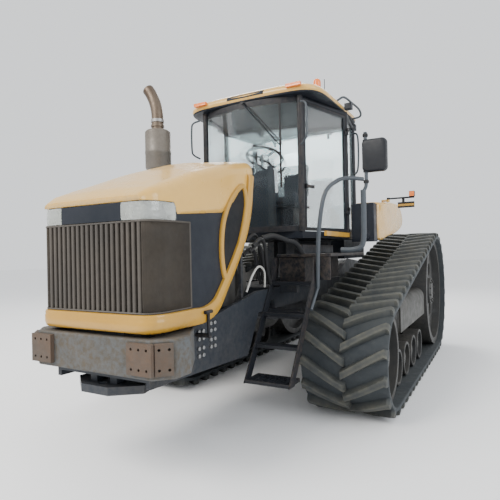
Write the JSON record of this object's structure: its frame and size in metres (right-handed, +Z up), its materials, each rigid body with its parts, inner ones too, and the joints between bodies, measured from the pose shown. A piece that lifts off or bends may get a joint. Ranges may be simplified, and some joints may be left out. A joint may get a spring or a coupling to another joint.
{
  "type": "rubber-belt tractor",
  "caption": "Heavy field tractor on two rubber belts, with a cab, tilting hood, front ballast bracket and rear drawbar.",
  "frame": {"origin": "on the ground, under the middle of the tractor's length and width", "axes": "-Y is forward (the nose), +X is the operator's left, +Z up"},
  "size_m": [2.997, 6.36, 3.39],
  "materials": {
    "frame_grey": "satin dark grey paint, dusty",
    "bracket": "worn grey paint under dry dust",
    "steel": "bare steel bolts",
    "engine": "cast iron",
    "core": "matt black core",
    "yellow": "warm yellow gloss paint, dusty",
    "dark_plastic": "moulded blue-black plastic",
    "black_steel": "satin black paint, scuffed",
    "rail_grey": "grey paint",
    "glass": "tinted safety glass",
    "fabric": "woven seat cloth",
    "muffler": "heat-greyed silver paint",
    "stack": "heat-browned steel",
    "amber": "amber lens",
    "grille": "dusty dark mesh",
    "lens": "clear hazed lens",
    "rubber": "moulded rubber, dusty",
    "wheel": "dark painted casting",
    "cover": "dusty grey paint",
    "mirror": "black moulded shell"
  },
  "bodies": {
    "chassis": {"main_frame": "frame_grey", "front_bracket": "bracket", "ballast_pads": "bracket", "frame_bolts": "steel", "engine": "engine", "radiator": "core", "transmission": "frame_grey", "fuel_tank": "dark_plastic", "fenders": "yellow", "deck": "black_steel", "ladder": "black_steel", "rails": "rail_grey", "cab_floor": "dark_plastic", "cab_frame": "black_steel", "roof_shell": "yellow", "roof_liner": "dark_plastic", "cab_glass": "glass", "consoles": "dark_plastic", "muffler": "muffler", "exhaust_stack": "stack", "lamps": "amber"},
    "fan": {"cooling_fan": "dark_plastic"},
    "mirror_l": {"mirror_left": "mirror"},
    "mirror_r": {"mirror_right": "mirror"},
    "rear_pane": {"rear_window": "glass"},
    "door": {"door_frame": "black_steel", "door_glass": "glass"},
    "steering": {"steering_wheel": "dark_plastic"},
    "seat": {"seat_base": "black_steel", "seat_cushion": "fabric", "seat_back": "fabric"},
    "hood": {"hood_shell": "yellow", "hood_band": "yellow", "grille": "grille", "hood_sides": "dark_plastic", "headlights": "lens"},
    "latch_l": {"latch_left": "black_steel"},
    "latch_r": {"latch_right": "black_steel"},
    "wiper": {"wiper_arm": "black_steel"},
    "blade": {"wiper_blade": "rubber"},
    "lamp_l": {"lamp_arm_left": "black_steel"},
    "lamp_r": {"lamp_arm_right": "black_steel"},
    "hitch": {"drawbar": "black_steel"},
    "walking_bar": {"hard_bar": "frame_grey"},
    "track_l": {"belt_left": "rubber", "track_frame_left": "cover"},
    "track_r": {"belt_right": "rubber", "track_frame_right": "cover"},
    "drive_l": {"drive_wheel_left": "wheel"},
    "drive_r": {"drive_wheel_right": "wheel"},
    "front_wheel_l": {"idler_left": "wheel"},
    "front_wheel_r": {"idler_right": "wheel"},
    "roller_l1": {"roller_left_1": "wheel"},
    "roller_l2": {"roller_left_2": "wheel"},
    "roller_l3": {"roller_left_3": "wheel"},
    "roller_l4": {"roller_left_4": "wheel"},
    "roller_r1": {"roller_right_1": "wheel"},
    "roller_r2": {"roller_right_2": "wheel"},
    "roller_r3": {"roller_right_3": "wheel"},
    "roller_r4": {"roller_right_4": "wheel"}
  },
  "joints": [
    {"name": "track_swing_left", "type": "hinge", "parent": "chassis", "child": "track_l", "pos_m": [1.1175, 2.04, 0.868], "axis": [1, 0, 0], "range_deg": [-2.2, 2.2]},
    {"name": "track_swing_right", "type": "hinge", "parent": "chassis", "child": "track_r", "pos_m": [-1.1175, 2.04, 0.868], "axis": [1, 0, 0], "range_deg": [-2.2, 2.2]},
    {"name": "walking_bar_tilt", "type": "hinge", "parent": "chassis", "child": "walking_bar", "pos_m": [0, -1.4, 0.925], "axis": [0, 1, 0], "range_deg": [-8.36, 8.36]},
    {"name": "drive_wheel_spin_left", "type": "hinge", "parent": "chassis", "child": "drive_l", "pos_m": [1.1175, 2.04, 0.868], "axis": [1, 0, 0], "continuous": true},
    {"name": "idler_spin_left", "type": "hinge", "parent": "track_l", "child": "front_wheel_l", "pos_m": [1.1175, -1, 0.508], "axis": [1, 0, 0], "continuous": true},
    {"name": "roller_spin_left_1", "type": "hinge", "parent": "track_l", "child": "roller_l1", "pos_m": [1.1175, -0.38, 0.28], "axis": [1, 0, 0], "continuous": true},
    {"name": "roller_spin_left_2", "type": "hinge", "parent": "track_l", "child": "roller_l2", "pos_m": [1.1175, 0.06, 0.28], "axis": [1, 0, 0], "continuous": true},
    {"name": "roller_spin_left_3", "type": "hinge", "parent": "track_l", "child": "roller_l3", "pos_m": [1.1175, 0.5, 0.28], "axis": [1, 0, 0], "continuous": true},
    {"name": "roller_spin_left_4", "type": "hinge", "parent": "track_l", "child": "roller_l4", "pos_m": [1.1175, 0.94, 0.28], "axis": [1, 0, 0], "continuous": true},
    {"name": "drive_wheel_spin_right", "type": "hinge", "parent": "chassis", "child": "drive_r", "pos_m": [-1.1175, 2.04, 0.868], "axis": [1, 0, 0], "continuous": true},
    {"name": "idler_spin_right", "type": "hinge", "parent": "track_r", "child": "front_wheel_r", "pos_m": [-1.1175, -1, 0.508], "axis": [1, 0, 0], "continuous": true},
    {"name": "roller_spin_right_1", "type": "hinge", "parent": "track_r", "child": "roller_r1", "pos_m": [-1.1175, -0.38, 0.28], "axis": [1, 0, 0], "continuous": true},
    {"name": "roller_spin_right_2", "type": "hinge", "parent": "track_r", "child": "roller_r2", "pos_m": [-1.1175, 0.06, 0.28], "axis": [1, 0, 0], "continuous": true},
    {"name": "roller_spin_right_3", "type": "hinge", "parent": "track_r", "child": "roller_r3", "pos_m": [-1.1175, 0.5, 0.28], "axis": [1, 0, 0], "continuous": true},
    {"name": "roller_spin_right_4", "type": "hinge", "parent": "track_r", "child": "roller_r4", "pos_m": [-1.1175, 0.94, 0.28], "axis": [1, 0, 0], "continuous": true},
    {"name": "hood_tilt", "type": "hinge", "parent": "chassis", "child": "hood", "pos_m": [0, -1.85, 2.235], "axis": [-1, 0, 0], "range_deg": [0, 45]},
    {"name": "hood_latch_left", "type": "hinge", "parent": "chassis", "child": "latch_l", "pos_m": [0.5, -2.6, 0.925], "axis": [1, 0, 0], "range_deg": [-85, 0]},
    {"name": "hood_latch_right", "type": "hinge", "parent": "chassis", "child": "latch_r", "pos_m": [-0.5, -2.6, 0.925], "axis": [1, 0, 0], "range_deg": [-85, 0]},
    {"name": "door_swing", "type": "hinge", "parent": "chassis", "child": "door", "pos_m": [0.83141, -0.1713, 2.3], "axis": [0, 0, 1], "range_deg": [0, 68]},
    {"name": "rear_window_tilt", "type": "hinge", "parent": "chassis", "child": "rear_pane", "pos_m": [0, 0.468, 3.014], "axis": [1, 0, 0], "range_deg": [0, 35]},
    {"name": "wiper_sweep", "type": "hinge", "parent": "chassis", "child": "wiper", "pos_m": [0, -1.112, 3.05], "axis": [0, 1, 0], "range_deg": [0, 80]},
    {"name": "wiper_blade_level", "type": "hinge", "parent": "wiper", "child": "blade", "pos_m": [0.42, -1.112, 2.56], "axis": [0, 1, 0], "range_deg": [-80, 0]},
    {"name": "steering_turn", "type": "hinge", "parent": "chassis", "child": "steering", "pos_m": [0, -0.64, 2.53], "axis": [0, 0.3714, 0.9285], "range_deg": [-135, 135], "stiffness_Nm_per_rad": 1.5},
    {"name": "seat_swivel", "type": "hinge", "parent": "chassis", "child": "seat", "pos_m": [0, -0.06, 1.7], "axis": [0, 0, 1], "range_deg": [-10, 20]},
    {"name": "mirror_swivel_left", "type": "hinge", "parent": "chassis", "child": "mirror_l", "pos_m": [1.23, -0.95, 2.375], "axis": [0, 0, 1], "range_deg": [-60, 60]},
    {"name": "mirror_swivel_right", "type": "hinge", "parent": "chassis", "child": "mirror_r", "pos_m": [-1.23, -0.95, 2.375], "axis": [0, 0, 1], "range_deg": [-60, 60]},
    {"name": "lamp_arm_fold_left", "type": "hinge", "parent": "chassis", "child": "lamp_l", "pos_m": [1.14, 0.41, 2.11], "axis": [0, 0, 1], "range_deg": [0, 90]},
    {"name": "lamp_arm_fold_right", "type": "hinge", "parent": "chassis", "child": "lamp_r", "pos_m": [-1.14, 0.41, 2.11], "axis": [0, 0, -1], "range_deg": [0, 90]},
    {"name": "drawbar_swing", "type": "hinge", "parent": "chassis", "child": "hitch", "pos_m": [0, 1.75, 0.397], "axis": [0, 0, 1], "range_deg": [-12, 12]},
    {"name": "fan_spin", "type": "hinge", "parent": "chassis", "child": "fan", "pos_m": [0, -2.8, 1.38], "axis": [0, 1, 0], "continuous": true}
  ],
  "couplings": [
    {"joint": "track_swing_right", "follows": "track_swing_left", "ratio": -1},
    {"joint": "walking_bar_tilt", "follows": "track_swing_left", "ratio": 3.8},
    {"joint": "wiper_blade_level", "follows": "wiper_sweep", "ratio": -1},
    {"joint": "idler_spin_left", "follows": "drive_wheel_spin_left", "ratio": 1.8717},
    {"joint": "roller_spin_left_1", "follows": "drive_wheel_spin_left", "ratio": 4.1784},
    {"joint": "roller_spin_left_2", "follows": "drive_wheel_spin_left", "ratio": 4.1784},
    {"joint": "roller_spin_left_3", "follows": "drive_wheel_spin_left", "ratio": 4.1784},
    {"joint": "roller_spin_left_4", "follows": "drive_wheel_spin_left", "ratio": 4.1784},
    {"joint": "idler_spin_right", "follows": "drive_wheel_spin_right", "ratio": 1.8717},
    {"joint": "roller_spin_right_1", "follows": "drive_wheel_spin_right", "ratio": 4.1784},
    {"joint": "roller_spin_right_2", "follows": "drive_wheel_spin_right", "ratio": 4.1784},
    {"joint": "roller_spin_right_3", "follows": "drive_wheel_spin_right", "ratio": 4.1784},
    {"joint": "roller_spin_right_4", "follows": "drive_wheel_spin_right", "ratio": 4.1784}
  ]
}
